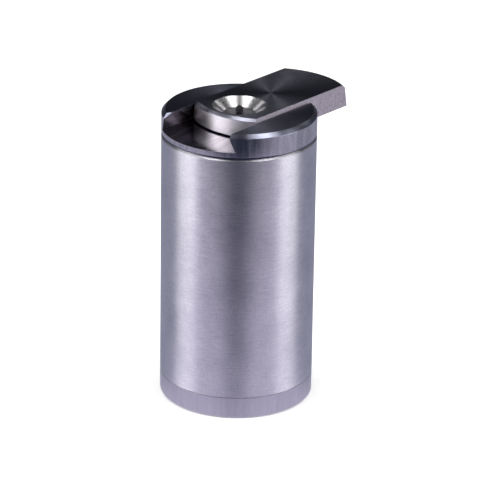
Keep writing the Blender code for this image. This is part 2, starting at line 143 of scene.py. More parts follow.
def lathe(name, profile, sides=FINE, centre=(0.0, 0.0)):
    """A turned mesh. The profile's (radius, height) points run down the outside.

    A profile that starts off the axis closes into a ring.
    """
    bm = bmesh.new()
    rings = []
    for r, z in profile:
        count = sides if r > 0 else 1
        ring = []
        for i in range(count):
            angle = math.tau * i / sides
            place = (centre[0] + r * math.cos(angle), centre[1] + r * math.sin(angle), z)
            ring.append(bm.verts.new(place))
        rings.append(ring)
    pairs = list(zip(rings, rings[1:]))
    if profile[0][0] > 0:
        pairs.append((rings[-1], rings[0]))
    for upper, lower in pairs:
        for i in range(sides):
            j = (i + 1) % sides
            if len(upper) == 1:
                bm.faces.new((upper[0], lower[i], lower[j]))
            elif len(lower) == 1:
                bm.faces.new((upper[i], lower[0], upper[j]))
            else:
                bm.faces.new((upper[i], lower[i], lower[j], upper[j]))
    bmesh.ops.recalc_face_normals(bm, faces=bm.faces)
    return to_object(name, bm)


def prism(name, outline, x_from, x_to):
    """A bar along X with this outline of (y, z) points."""
    bm = bmesh.new()
    ends = [[bm.verts.new((x, y, z)) for y, z in outline] for x in (x_from, x_to)]
    bm.faces.new(ends[0])
    bm.faces.new(ends[1])
    for i in range(len(outline)):
        j = (i + 1) % len(outline)
        bm.faces.new((ends[0][i], ends[0][j], ends[1][j], ends[1][i]))
    bmesh.ops.recalc_face_normals(bm, faces=bm.faces)
    return to_object(name, bm)


def to_object(name, bm):
    mesh = bpy.data.meshes.new(name)
    bm.to_mesh(mesh)
    bm.free()
    obj = bpy.data.objects.new(name, mesh)
    bpy.context.scene.collection.objects.link(obj)
    return obj


def carve(obj, cutters, operation="DIFFERENCE"):
    """Cuts the object with each cutter in turn, keeps the result as its mesh, and removes the cutters."""
    for cutter in cutters:
        modifier = obj.modifiers.new(cutter.name, "BOOLEAN")
        modifier.object = cutter
        modifier.operation = operation
        modifier.solver = "EXACT"
    bpy.context.view_layer.update()
    done = bpy.data.meshes.new_from_object(obj.evaluated_get(bpy.context.evaluated_depsgraph_get()))
    obj.modifiers.clear()
    obj.data = done
    for cutter in cutters:
        bpy.data.objects.remove(cutter, do_unlink=True)
    return obj


def hull(name, points):
    bm = bmesh.new()
    for point in points:
        bm.verts.new(point)
    bmesh.ops.convex_hull(bm, input=bm.verts)
    bmesh.ops.recalc_face_normals(bm, faces=bm.faces)
    return to_object(name, bm)


def hole(r, low, high, at=(0.0, 0.0), sides=48):
    return lathe("hole", [(0.0, high), (r, high), (r, low), (0.0, low)], sides, at)


def dovetail(name, half, level, low, high, x_from, x_to, flare):
    """A bar whose sides lean out downward. half is its half width at level, where flare breaks its edge."""
    spread = half + SLOPE * (level - low)
    step = half + SLOPE * abs(flare)
    right = [(spread, low), (step, level - abs(flare)), (half + flare, level), (half + flare, high)]
    left = [(-y, z) for y, z in reversed(right)]
    return prism(name, right + left, x_from, x_to)


def lay_along_y(obj, z):
    """Turns a piece that was made upright round the frame's own axis to lie along Y at this height."""
    obj.data.transform(Matrix.Translation((0.0, 0.0, z)) @ Matrix.Rotation(-math.pi / 2, 4, "X"))


def centre_of(node):
    low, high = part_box(node)
    return (low + high) / 2


# --------------------------------------------------------------------------- finishes

class Finish:
    """A node material with short calls for the nodes that the finishes here use."""

    def __init__(self, name, metallic, **constants):
        self.material = bpy.data.materials.new(name)
        self.material.use_nodes = True
        self.tree = self.material.node_tree
        self.shader = self.tree.nodes["Principled BSDF"]
        self.shader.inputs["Metallic"].default_value = metallic
        for socket, value in constants.items():
            self.shader.inputs[socket.replace("_", " ")].default_value = value

    def node(self, kind, inputs=None, **settings):
        made = self.tree.nodes.new("ShaderNode" + kind)
        for key, value in settings.items():
            setattr(made, key, value)
        for key, value in (inputs or {}).items():
            self.put(made.inputs[key], value)
        return made

    def put(self, socket, value):
        if isinstance(value, bpy.types.NodeSocket):
            self.tree.links.new(value, socket)
        else:
            socket.default_value = value

    def math(self, operation, a, b=0.0):
        return self.node("Math", {0: a, 1: b}, operation=operation).outputs[0]

    def vector(self, operation, a, b=(0, 0, 0)):
        made = self.node("VectorMath", {0: a, 1: b}, operation=operation)
        return made.outputs["Value" if operation == "LENGTH" else "Vector"]

    def noise(self, vector, scale, detail=2.0, roughness=0.5):
        inputs = {"Vector": vector, "Scale": scale, "Detail": detail, "Roughness": roughness}
        return self.node("TexNoise", inputs).outputs["Fac"]

    def spread(self, value, low, high):
        """A noise value, stretched to run from low to high."""
        return self.node("MapRange", {
            "Value": value, "From Min": NOISE_LOW, "From Max": NOISE_HIGH, "To Min": low, "To Max": high,
        }).outputs["Result"]

    def step(self, value, start, end):
        """A smooth rise from 0 at start to 1 at end."""
        inputs = {"Value": value, "From Min": start, "From Max": end}
        return self.node("MapRange", inputs, interpolation_type="SMOOTHSTEP").outputs["Result"]

    def colours(self, value, dark, light):
        """A noise value, turned into a colour from dark to light."""
        ramp = self.node("ValToRGB", {"Fac": value})
        start, end = ramp.color_ramp.elements
        start.position, end.position = NOISE_LOW, NOISE_HIGH
        start.color, end.color = (*dark, 1.0), (*light, 1.0)
        return ramp.outputs["Color"]

    def mix(self, factor, first, second):
        made = self.node("Mix", {0: factor}, data_type="RGBA")
        for socket, value in ((made.inputs[6], first), (made.inputs[7], second)):
            self.put(socket, value if isinstance(value, bpy.types.NodeSocket) else (*value, 1.0))
        return made.outputs[2]

    def place(self, centre=(0, 0, 0)):
        """Position on the piece, measured from centre."""
        return self.vector("SUBTRACT", self.node("TexCoord").outputs["Object"], centre)

    def relief(self, height, strength, depth):
        bump = self.node("Bump", {"Height": height, "Strength": strength, "Distance": depth})
        self.put(self.shader.inputs["Normal"], bump.outputs["Normal"])

    def grain_across(self, along):
        """Stretches the gloss across the direction that the tool marks run along."""
        turned = self.node("VectorTransform", {"Vector": along}, vector_type="VECTOR",
                           convert_from="OBJECT", convert_to="WORLD").outputs["Vector"]
        normal = self.node("NewGeometry").outputs["Normal"]
        across = self.vector("NORMALIZE", self.vector("CROSS_PRODUCT", turned, normal))
        self.put(self.shader.inputs["Tangent"], across)


def turned_metal(name, dark, light, rough, anisotropic, centre=(0, 0, 0), groove=0.32 * MM, depth=0.004 * MM):
    """Lathe-turned metal: fine rings round the axis at centre, broken up a little along each turn."""
    finish = Finish(name, 1.0, Anisotropic=anisotropic)
    place = finish.place(centre)
    parts = finish.node("SeparateXYZ", {"Vector": place}).outputs
    flat = finish.node("CombineXYZ", {"X": parts["X"], "Y": parts["Y"]}).outputs["Vector"]
    radius = finish.vector("LENGTH", flat)
    path = finish.math("ADD", radius, parts["Z"])
    angle = finish.math("ARCTAN2", parts["Y"], parts["X"])
    breaks_per_radian = 5.0
    rings = finish.node("CombineXYZ", {
        "X": finish.math("DIVIDE", path, groove),
        "Y": finish.math("MULTIPLY", angle, breaks_per_radian),
    }).outputs["Vector"]
    fine = finish.noise(rings, scale=1.0, detail=3.0, roughness=0.65)
    cloud = finish.noise(place, scale=160.0, detail=3.0)
    grit = finish.noise(place, scale=2400.0, detail=3.0, roughness=0.7)
    mixed = 0.0
    for pattern, share in ((fine, 0.36), (cloud, 0.28), (grit, 0.36)):
        mixed = finish.math("ADD", finish.math("MULTIPLY", pattern, share), mixed)
    finish.put(finish.shader.inputs["Base Color"], finish.colours(mixed, dark, light))
    finish.put(finish.shader.inputs["Roughness"], finish.spread(fine, rough - 0.04, rough + 0.05))
    finish.relief(finish.math("ADD", fine, finish.math("MULTIPLY", grit, 0.8)), 0.5, depth)
    round_axis = finish.vector("CROSS_PRODUCT", (0.0, 0.0, 1.0), flat)
    finish.grain_across(round_axis)
    return finish.material


def ground_metal(name, dark, light, rough, anisotropic, along=(1, 0, 0), groove=0.35 * MM, depth=0.005 * MM):
    """Metal milled or ground along one straight direction."""
    finish = Finish(name, 1.0, Anisotropic=anisotropic)
    place = finish.place()
    long_marks = 0.04                   # the marks' width over their length
    stretch = [long_marks if abs(a) > 0.5 else 1.0 for a in along]
    lines = finish.vector("MULTIPLY", place, [s / groove for s in stretch])
    fine = finish.noise(lines, scale=1.0, detail=3.0, roughness=0.6)
    finish.put(finish.shader.inputs["Base Color"], finish.colours(fine, dark, light))
    finish.put(finish.shader.inputs["Roughness"], finish.spread(fine, rough - 0.04, rough + 0.05))
    finish.relief(fine, 0.5, depth)
    finish.grain_across(along)
    return finish.material


def upright_metal(name, dark, light, rough, anisotropic):
    """Round metal whose fine tool marks stand upright, so its gloss spreads round the piece."""
    finish = Finish(name, 1.0, Anisotropic=anisotropic)
    place = finish.place()
    long_marks = 0.08                   # the marks' width over their height
    upright = finish.vector("MULTIPLY", place, (1.0, 1.0, long_marks))
    marks = finish.noise(upright, scale=1100.0, detail=3.0, roughness=0.6)
    grit = finish.noise(place, scale=3200.0, roughness=0.6)
    mixed = finish.math("ADD", finish.math("MULTIPLY", marks, 0.6), finish.math("MULTIPLY", grit, 0.4))
    finish.put(finish.shader.inputs["Base Color"], finish.colours(mixed, dark, light))
    finish.put(finish.shader.inputs["Roughness"], finish.spread(marks, rough - 0.05, rough + 0.05))
    finish.relief(mixed, 0.5, 0.012 * MM)
    finish.grain_across((0.0, 0.0, 1.0))
    return finish.material


def moulded(name, dark, light, rough, metallic=0.0, size=0.25 * MM, depth=0.01 * MM, **constants):
    """A plain moulded, plated or coated surface with a fine pebble grain."""
    finish = Finish(name, metallic, **constants)
    place = finish.place()
    grain = finish.noise(place, scale=1.0 / size, detail=3.0)
    finish.put(finish.shader.inputs["Base Color"], finish.colours(grain, dark, light))
    finish.put(finish.shader.inputs["Roughness"], finish.spread(grain, rough - 0.05, rough + 0.06))
    finish.relief(grain, 0.5, depth)
    return finish.material


LAVENDER_DARK = (0.41, 0.405, 0.475)
LAVENDER_LIGHT = (0.75, 0.735, 0.785)
SLIDE_LOW, SLIDE_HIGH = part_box("shutter_slide")
SLIDE_X = (SLIDE_LOW.x + SLIDE_HIGH.x) / 2
SLIDE_R = (SLIDE_HIGH.x - SLIDE_LOW.x) / 2
SLIDE_AXIS = (SLIDE_X, 0, 0)

BODY_STEEL = turned_metal("body_steel", LAVENDER_DARK, LAVENDER_LIGHT, 0.42, 0.85)
BASE_STEEL = upright_metal("base_steel", (0.40, 0.39, 0.445), (0.53, 0.52, 0.575), 0.45, 0.6)
CAP_WALL_STEEL = upright_metal("cap_wall_steel", (0.24, 0.24, 0.27), (0.54, 0.53, 0.56), 0.34, 0.6)
CAP_STEEL = turned_metal("cap_steel", (0.25, 0.26, 0.36), (0.37, 0.38, 0.48), 0.33, 0.85)
SLIDE_STEEL = turned_metal("slide_steel", (0.25, 0.255, 0.335), (0.37, 0.375, 0.455), 0.33, 0.85, SLIDE_AXIS)
# Painted light: the near end wall's steel is a much lighter copy of the slide's steel, for the light that
# side catches; its turning marks are real.
PAINTED_LIGHT_END_STEEL = turned_metal("slide_end_steel_painted_light", (0.62, 0.60, 0.65), (0.84, 0.82, 0.86), 0.40, 0.4, SLIDE_AXIS)
FLANK_STEEL = moulded("slide_flank_steel", (0.22, 0.195, 0.25), (0.36, 0.33, 0.40), 0.46, metallic=1.0,
                      size=0.5 * MM, depth=0.006 * MM)
CHANNEL_STEEL = ground_metal("channel_steel", (0.32, 0.30, 0.36), (0.62, 0.58, 0.64), 0.15, 0.4,
                             depth=0.003 * MM)
# Painted shade: the channel's flanks are darker than its floor and the cap, for the shade inside the channel;
# the grain along X is real.
PAINTED_SHADE_FLANK_STEEL = ground_metal("channel_flank_steel_painted_shade", (0.16, 0.145, 0.18), (0.42, 0.38, 0.43), 0.22, 0.7)
DISH_STEEL = turned_metal("dish_steel", (0.74, 0.72, 0.77), (0.90, 0.89, 0.92), 0.30, 0.5, groove=0.2 * MM,
                          depth=0.002 * MM)
BLACK_ANODISED = moulded("black_anodised", (0.008, 0.007, 0.010), (0.022, 0.020, 0.026), 0.45, metallic=0.6)

CARRIED = {
    "spring_steel": turned_metal("spring_steel", (0.50, 0.50, 0.52), (0.66, 0.66, 0.67), 0.25, 0.4),
    "nickel": moulded("nickel", (0.60, 0.585, 0.55), (0.72, 0.70, 0.66), 0.22, metallic=1.0,
                      size=0.4 * MM, depth=0.002 * MM),
    "brass": turned_metal("brass", (0.66, 0.47, 0.19), (0.82, 0.63, 0.32), 0.28, 0.5),
    "rubber": moulded("rubber", (0.012, 0.012, 0.013), (0.03, 0.03, 0.031), 0.65),
    "black_plastic": moulded("black_plastic", (0.018, 0.018, 0.02), (0.038, 0.038, 0.042), 0.5),
    "board_green": moulded("board_green", (0.010, 0.10, 0.045), (0.025, 0.19, 0.085), 0.4, size=0.8 * MM),
    "component_black": moulded("component_black", (0.022, 0.022, 0.023), (0.05, 0.05, 0.052), 0.45),
    "lens_glass": moulded("lens_glass", (0.80, 0.84, 0.92), (0.88, 0.90, 0.97), 0.06, size=3 * MM,
                          depth=0.0005 * MM, Transmission_Weight=0.9, IOR=1.52, Coat_Weight=0.4,
                          Coat_Tint=(0.6, 0.5, 0.9, 1.0)),
    "black_anodised": BLACK_ANODISED,
    "body_steel": BODY_STEEL,
    "base_steel": BASE_STEEL,
    "cap_steel": CAP_STEEL,
    "slide_steel": SLIDE_STEEL,
}


# --------------------------------------------------------------------------- pieces

SLOTS = {row["node"]: row["material_slot"] for row in frame["record"]["subparts"]}
BODIES = {node: body for body, nodes in frame["record"]["behaviour"]["bodies"].items() for node in nodes}


def stand_for(obj, node, sharp_angle=TURNED_SHARP):
    """Shades the piece, and puts it in the node's place and body."""
    obj.data.shade_smooth()
    obj.data.set_sharp_from_angle(angle=math.radians(sharp_angle))
    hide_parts(node)
    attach(obj, BODIES[node])


def body_piece():
    low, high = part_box("body_tube")
    r = high.x
    body = lathe("body_barrel", softened([
        (BORE_R, high.z),
        (r - BODY_TOP_BREAK, high.z),
        (r, high.z - BODY_TOP_BREAK),
        (r, low.z + FINE_BREAK),
        (r - FINE_BREAK, low.z),
        (BORE_R, low.z),
        (BORE_R, WEB_Z),
        (WEB_R, WEB_Z),
        (WEB_R, WEB_TOP),
        (BORE_R, WEB_TOP),
    ]))
    cutters = []
    for i in range(3):
        middle = centre_of(f"tilt_screw_{i + 1}")
        cutters.append(hole(WEB_HOLE_R, WEB_Z - MM, WEB_TOP + MM, (middle.x, middle.y)))
    carve(body, cutters)
    body.data.materials.append(BODY_STEEL)
    stand_for(body, "body_tube")


def base_piece():
    low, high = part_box("base_cap")
    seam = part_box("body_tube")[0].z - SEAM
    groove_z = centre_of("base_cap_o_ring").z
    r = high.x
    base = lathe("base_screw_cap", softened([
        (0.0, CUP_Z),
        (CUP_R, CUP_Z),
        (CUP_R, high.z),
        (SPIGOT_R, high.z),
        (SPIGOT_R, groove_z + GROOVE_HALF),
        (GROOVE_R, groove_z + GROOVE_HALF),
        (GROOVE_R, groove_z - GROOVE_HALF),
        (SPIGOT_R, groove_z - GROOVE_HALF),
        (SPIGOT_R, seam),
        (r - FINE_BREAK, seam),
        (r, seam - FINE_BREAK),
        (r, 2 * EDGE_BREAK),
        (r - 2 * EDGE_BREAK, low.z),
        (0.0, low.z),
    ]))
    carve(base, [hole(SPANNER_R, -MM, SPANNER_DEPTH, (side * SPANNER_X, 0.0)) for side in (-1, 1)])
    base.data.materials.append(BASE_STEEL)
    stand_for(base, "base_cap")


def cap_piece():
    low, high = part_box("slide_cap")
    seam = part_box("body_tube")[1].z + GAP
    groove_z = centre_of("cap_o_ring").z
    r = high.x
    cap = lathe("channel_cap", softened([
        (0.0, high.z),
        (r - RIM_CHAMFER, high.z),
        (r, high.z - RIM_CHAMFER),
        (r, seam + EDGE_BREAK),
        (r - EDGE_BREAK, seam),
        (SPIGOT_R, seam),
        (SPIGOT_R, groove_z + GROOVE_HALF),
        (GROOVE_R, groove_z + GROOVE_HALF),
        (GROOVE_R, groove_z - GROOVE_HALF),
        (SPIGOT_R, groove_z - GROOVE_HALF),
        (SPIGOT_R, low.z),
        (CAP_HOLLOW_R, low.z),
        (CAP_HOLLOW_R, CAP_WEB_Z),
        (0.0, CAP_WEB_Z),
    ]))
    over = 4 * MM
    channel = dovetail("channel", CHANNEL_HALF, high.z, CHANNEL_FLOOR_Z, high.z + over, -r - over, r + over,
                       FINE_BREAK)
    carve(cap, [channel])
    cutters = [worn_corner(r, high.z, over), hole(BEAM_HOLE_R, CAP_WEB_Z - MM, CHANNEL_FLOOR_Z + MM)]
    for node in ("detent_ball", "slide_stop_pin"):
        near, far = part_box(node)
        middle = centre_of(node)
        from_z = CAP_WEB_Z - MM if node == "detent_ball" else near.z - GAP
        cutters.append(hole((far.x - near.x) / 2 + GAP, from_z, CHANNEL_FLOOR_Z + MM, (middle.x, middle.y)))
    carve(cap, cutters)
    for material in (CAP_STEEL, CHANNEL_STEEL, CAP_WALL_STEEL, PAINTED_SHADE_FLANK_STEEL):
        cap.data.materials.append(material)
    floor, wall, flank = 1, 2, 3
    for face in cap.data.polygons:
        # the channel's flanks take the darker steel, which is painted shade
        if abs(face.normal.y) > 0.9 and face.center.z > CHANNEL_FLOOR_Z and abs(face.normal.x) < FLAT:
            face.material_index = flank
        elif face.normal.z > 0.99 and abs(face.center.z - CHANNEL_FLOOR_Z) < 0.01 * MM:
            face.material_index = floor
        elif abs(face.normal.z) < 0.1 and face.center.z > seam and face.center.to_2d().length > 0.98 * r:
            face.material_index = wall
    stand_for(cap, "slide_cap")


def worn_corner(r, top, over):
    """A cutter for the filed flat, whose plane falls outward from a tip on the channel's edge."""
    corner = Vector((-math.sqrt(r ** 2 - CHANNEL_HALF ** 2), CHANNEL_HALF, top))
    tip = corner + Vector((WORN_LENGTH, 0, 0))
    aside, down = corner + Vector((0, WORN_WIDTH, 0)), corner + Vector((0, 0, -WORN_DEPTH))
    plane = (tip, tip + 2 * (aside - tip), tip + 2 * (down - tip))
    away = Vector((0, -over, over))
    return hull("worn_corner", [point + rise for point in plane for rise in (Vector(), away)])


def slide_piece():
    low, high = SLIDE_LOW, SLIDE_HIGH
    slide = lathe("dovetail_slide", softened([
        (0.0, high.z),
        (SLIDE_R - SLIDE_CHAMFER, high.z),
        (SLIDE_R, high.z - SLIDE_CHAMFER),
        (SLIDE_R, low.z),
        (0.0, low.z),
    ]), centre=(SLIDE_X, 0.0))
    over = 2 * MM
    half = high.y - SLOPE * (high.z - low.z)
    bar = dovetail("bar", half, high.z, low.z - over, high.z + over, low.x - over, high.x + over, -FINE_BREAK)
    carve(slide, [bar], "INTERSECT")
    lip = (DISH_R - DISH_RIM, high.z - DISH_RIM)
    throat = (THROAT_R, high.z - DISH_DEPTH)
    dish = lathe("dish", [
        (0.0, high.z + over),
        (DISH_R, high.z + over),
        (DISH_R, high.z),
        lip,
        *bend(lip, (DISH_FLOOR_R, high.z - DISH_WALL_DEPTH), throat, DISH_BLEND, 8),
        throat,
        (THROAT_R, low.z - over),
        (0.0, low.z - over),
    ], 128)
    carve(slide, [dish, *tracks()])
    for material in (SLIDE_STEEL, FLANK_STEEL, DISH_STEEL, PAINTED_LIGHT_END_STEEL):
        slide.data.materials.append(material)
    flank, hollow, end = 1, 2, 3
    for face in slide.data.polygons:
        if abs(face.normal.y) > 0.9 and abs(face.normal.x) < FLAT:
            face.material_index = flank
        elif face.center.to_2d().length < DISH_R and low.z + MM < face.center.z < high.z - 0.01 * MM:
            face.material_index = hollow
        # the near half of the turned end wall takes the lighter steel, which is painted light
        elif abs(face.normal.z) < 0.1 and face.center.x < SLIDE_X:
            face.material_index = end
    stand_for(slide, "shutter_slide")


def tracks():
    """Cutters for the two grooves under the slide, as long as its travel, and for the ball's dimples."""
    below = SLIDE_LOW.z - MM
    cutters = []
    for node in ("slide_stop_pin", "detent_ball"):
        low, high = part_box(node)
        middle = centre_of(node)
        half = (high.x - low.x) / 2 + GAP
        ceiling = high.z + GAP
        left, right = middle.y - half, middle.y + half
        sides = [(left, below), (right, below), (right, ceiling), (left, ceiling)]
        cutters.append(prism("track", sides, middle.x, middle.x + SLIDE_X))
        for x in (middle.x, middle.x + SLIDE_X):
            cutters.append(hole(half, below, ceiling, (x, middle.y)))
            if node == "detent_ball":
                cutters.append(hole(DIMPLE_R, below, ceiling + GAP, (x, middle.y)))
    return cutters


def aperture_piece():
    foot_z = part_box("aperture_insert")[0].z
    nose_z = SLIDE_HIGH.z - NOSE_DEPTH
    start = math.asin(PINHOLE_R / NOSE_R)
    end = math.pi - math.asin(STEM_R / NOSE_R)
    steps = 24
    angles = [start + (end - start) * i / steps for i in range(steps + 1)]
    nose = [(NOSE_R * math.sin(a), nose_z + NOSE_R * math.cos(a)) for a in angles]
    insert = lathe("pinhole_nose", nose + [(STEM_R, foot_z), (PINHOLE_R, foot_z)], 64)
    insert.data.materials.append(BLACK_ANODISED)
    stand_for(insert, "aperture_insert")


def carried_nodes():
    """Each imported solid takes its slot's finish. Two small board parts have no finer piece and show it."""
    for row in frame["record"]["subparts"]:
        node = frame["nodes"][row["node"]]
        node.data.materials.clear()
        node.data.materials.append(CARRIED[row["material_slot"]])


def outline(node, turn=0.0):
    """The (radius, height) outline of a turned CAD node, cut through its axis this far round from X."""
    low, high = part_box(node)
    centre = (low + high) / 2
    angle = math.radians(turn + 0.01)       # a hair past the solid's own edges
    ahead = Vector((math.cos(angle), math.sin(angle), 0.0))
    bm = bmesh.new()
    bm.from_mesh(frame["nodes"][node].data)
    bmesh.ops.remove_doubles(bm, verts=bm.verts, dist=MERGE)
    everything = bm.verts[:] + bm.edges[:] + bm.faces[:]
    across = ahead.cross((0, 0, 1))
    cut = bmesh.ops.bisect_plane(bm, geom=everything, plane_co=centre, plane_no=across, dist=MERGE / 100)
    links = {}
    for edge in cut["geom_cut"]:
        if isinstance(edge, bmesh.types.BMEdge):
            here, there = edge.verts
            links.setdefault(here, []).append(there)
            links.setdefault(there, []).append(here)
    places = {vert: Vector(((vert.co - centre).dot(ahead), vert.co.z)) for vert in links}
    start = max(places, key=lambda vert: places[vert].x)
    path = [start]
    on_axis = False
    for first in links[start]:          # from the outermost point both ways, to the axis or back round
        run, previous, here = [], start, first
        while here is not start and places[here].x > ON_AXIS:
            run.append(here)
            previous, here = here, next(vert for vert in links[here] if vert is not previous)
        if here is start:
            path += run
            break
        on_axis = True
        path = run[::-1] + path if first is links[start][0] else path + run
    scale = (high.x - low.x) / 2 / places[start].x
    points = [Vector((places[vert].x * scale, places[vert].y)) for vert in path]
    bm.free()
    if on_axis:
        points = [Vector((0.0, points[0].y)), *points, Vector((0.0, points[-1].y))]
    count = len(points)
    kept = []
    for i, point in enumerate(points):
        back, onward = point - points[i - 1], points[(i + 1) % count] - point
        straight = back.length < MERGE or (onward.length > MERGE and back.angle(onward) < STRAIGHT)
        if point.x == 0 or not straight:
            kept.append(point)
    return kept


def finish_as(piece, node, sharp_angle=TURNED_SHARP):
    """Gives a piece of one material its slot's finish, and puts it in the node's place."""
    piece.data.materials.append(CARRIED[SLOTS[node]])
    stand_for(piece, node, sharp_angle)


def fine_turned(node, turn=0.0, sides=96, cutters=()):
    """A rounder stand-in for a turned CAD node, its corners broken."""
    middle = centre_of(node)
    piece = lathe(f"fine_{node}", softened(outline(node, turn)), sides, (middle.x, middle.y))
    if cutters:
        carve(piece, cutters)
    finish_as(piece, node)


def slot_cut(node, width, depth, length):
    """A cutter for a straight screwdriver slot in the top of the node."""
    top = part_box(node)[1].z
    middle = centre_of(node)
    y_from, y_to = middle.y - width / 2, middle.y + width / 2
    ends = [(y_from, top - depth), (y_to, top - depth), (y_to, top + depth), (y_from, top + depth)]
    return prism("slot", ends, middle.x - length / 2, middle.x + length / 2)


def seal(node):
    """A rubber ring with a round section."""
    low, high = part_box(node)
    wire = (high.z - low.z) / 2
    major = (high.x - low.x) / 2 - wire
    middle_z = centre_of(node).z
    around = 20
    angles = [math.tau * i / around for i in range(around)]
    ring = [(major + wire * math.cos(a), middle_z - wire * math.sin(a)) for a in angles]
    finish_as(lathe(f"fine_{node}", ring, 128), node)


def spring(node, wire, turns):
    """Round wire wound on a helix between the node's ends, its first and last turns nearly closed."""
    low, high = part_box(node)
    middle = centre_of(node)
    radius = (high.x - low.x) / 2 - wire
    bottom, top = low.z + wire, high.z - wire
    end_turns, end_rise = 0.75, 2.2 * wire
    per_turn, around = 40, 14
    bm = bmesh.new()
    rings = []
    for i in range(round(turns * per_turn) + 1):
        turn = i / per_turn
        rise = min(max((turn - end_turns) / (turns - 2 * end_turns), 0.0), 1.0)
        z = bottom + end_rise * min(turn / end_turns, 1.0) + (top - bottom - 2 * end_rise) * rise
        z += end_rise * max((turn - turns + end_turns) / end_turns, 0.0)
        out = Vector((math.cos(math.tau * turn), math.sin(math.tau * turn), 0.0))
        centre = Vector((middle.x, middle.y, z)) + out * radius
        rings.append([bm.verts.new(centre + wire * (out * math.cos(a) + Vector((0, 0, math.sin(a)))))
                      for a in (math.tau * k / around for k in range(around))])
    for ring, after in zip(rings, rings[1:]):
        for k in range(around):
            bm.faces.new((ring[k], ring[k - 1], after[k - 1], after[k]))
    bm.faces.new(rings[0])
    bm.faces.new(rings[-1])
    bmesh.ops.recalc_face_normals(bm, faces=bm.faces)
    piece = to_object(f"fine_{node}", bm)
    finish_as(piece, node, WIRE_SHARP)
    return piece


def detent_ball():
    low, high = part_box("detent_ball")
    middle = centre_of("detent_ball")
    radius = (high.z - low.z) / 2
    steps = 32
    angles = [math.pi * i / steps for i in range(1, steps)]
    arc = [(radius * math.sin(a), middle.z + radius * math.cos(a)) for a in angles]
    half_circle = [(0.0, high.z), *arc, (0.0, low.z)]
    finish_as(lathe("fine_detent_ball", half_circle, 64, (middle.x, middle.y)), "detent_ball")


def clamp_screw():
    """The set screw that lies along Y, with a hexagon socket in its outer end."""
    low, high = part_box("clamp_screw")
    radius = (high.x - low.x) / 2
    screw = lathe("fine_clamp_screw", softened([
        (0.0, high.y), (radius, high.y), (radius, low.y), (0.0, low.y),
    ]), 64)
    carve(screw, [hole(0.5 * radius, high.y - radius, high.y + radius, sides=6)])
    lay_along_y(screw, centre_of("clamp_screw").z)
    finish_as(screw, "clamp_screw")


def tilt_plate(screw_holes):
    low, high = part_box("clamp_screw")
    across = hole((high.x - low.x) / 2 + GAP, low.y - MM, high.y + MM)
    lay_along_y(across, centre_of("clamp_screw").z)
    fine_turned("tilt_plate", cutters=[across, *screw_holes])


def inner_pieces():
    """The pieces inside. A turn of 90 degrees reads a slotted or holed piece's outline clear of its cuts."""
    for node in ("battery_sleeve", "contact_plate", "driver_board", "driver_capacitor", "spacer_tube",
                 "laser_barrel", "diode_ring", "laser_diode", "diode_lead_1", "diode_lead_2",
                 "collimating_lens", "lens_retainer", "protective_window", "window_retainer", "detent_plug",
                 "slide_stop_pin", "button_cell_1", "button_cell_2", "button_cell_3"):
        fine_turned(node)
    slot = slot_cut("lens_cell", width=0.9 * MM, depth=0.8 * MM, length=12 * MM)
    fine_turned("lens_cell", turn=90.0, cutters=[slot])
    screw_holes = []
    for i in range(3):
        node = f"tilt_screw_{i + 1}"
        low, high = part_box(node)
        middle = centre_of(node)
        screw_holes.append(hole(WEB_HOLE_R, low.z, high.z + MM, (middle.x, middle.y)))
        slot = slot_cut(node, width=0.6 * MM, depth=0.5 * MM, length=6 * MM)
        fine_turned(node, turn=90.0, sides=64, cutters=[slot])
    for node in ("base_cap_o_ring", "cap_o_ring", "window_o_ring", "pivot_o_ring"):
        seal(node)
    spring("battery_spring", BATTERY_SPRING_WIRE, turns=3.5)
    spring("lens_spring", LENS_SPRING_WIRE, turns=4)
    pressed = spring("detent_spring", DETENT_SPRING_WIRE, turns=3)
    low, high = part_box("detent_spring")
    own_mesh(pressed)
    detent_ball()
    clamp_screw()
    for node in ("driver_chip", "driver_resistor"):
        edges = frame["nodes"][node].modifiers.new("edges", "BEVEL")
        edges.width = CHIP_BREAK
        edges.segments = 3
    tilt_plate(screw_holes)


carried_nodes()
body_piece()
base_piece()
cap_piece()
slide_piece()
aperture_piece()
inner_pieces()


# --------------------------------------------------------------------------- studio

VIEW_TURN = math.radians(49.69)         # the camera stands this far round from -Y towards -X
TO_FRAME = Matrix.Rotation(-VIEW_TURN, 3, "Z")   # from the camera's right and depth to the frame's X and Y
AIM = Vector((0.0, 0.0, 35 * MM))
BENCH_NEAR = (0.95, 0.91, 1.05)         # the bench round the base, at the sides, behind and before the object
BENCH_SIDE = (0.86, 0.80, 1.01)
BENCH_BACK = (0.48, 0.49, 0.62)
BENCH_FRONT = (0.0, 0.015, 0.055)
SHEET_HALF = 3.0
BENCH_HALF = 0.9
FLOOR_Z = -0.2 * MM
BENCH_Z = -1.0 * MM
SOFTBOX_DISTANCE = 0.6
SOFTBOX_COLOUR = (1.0, 0.99, 0.95)
SOFTBOXES = (                           # name, azimuth and elevation in degrees, width, height, brightness
    ("left_box", -79, 12, 0.36, 0.42, 3.4),
    ("right_box", 77, 12, 0.34, 0.42, 3.3),
    ("left_top", -60, 62, 0.22, 0.30, 5.5),
    ("right_top", 60, 62, 0.22, 0.30, 5.5),
    ("top_back", 180, 72, 0.34, 0.06, 0.9),
    ("left_back", -137, 36, 0.07, 0.14, 2.2),
    ("right_back", 137, 36, 0.07, 0.14, 2.2),
)
SKY_COLOUR = (1.0, 1.0, 1.0)            # what the camera and matt surfaces see, and what the metal mirrors
SKY_STRENGTH = 0.95
MIRRORED_SKY_COLOUR = (0.80, 0.85, 1.0)
MIRRORED_SKY_STRENGTH = 0.03

CAMERA_PITCH = 0.3909                   # radians
CAMERA_YAW = 0.0008
CAMERA_ROLL = 0.0145
CAMERA_BACK = 38.359                    # in barrel radii
CAMERA_UP = 17.888
LENS = 239.5
SENSOR = 36.0


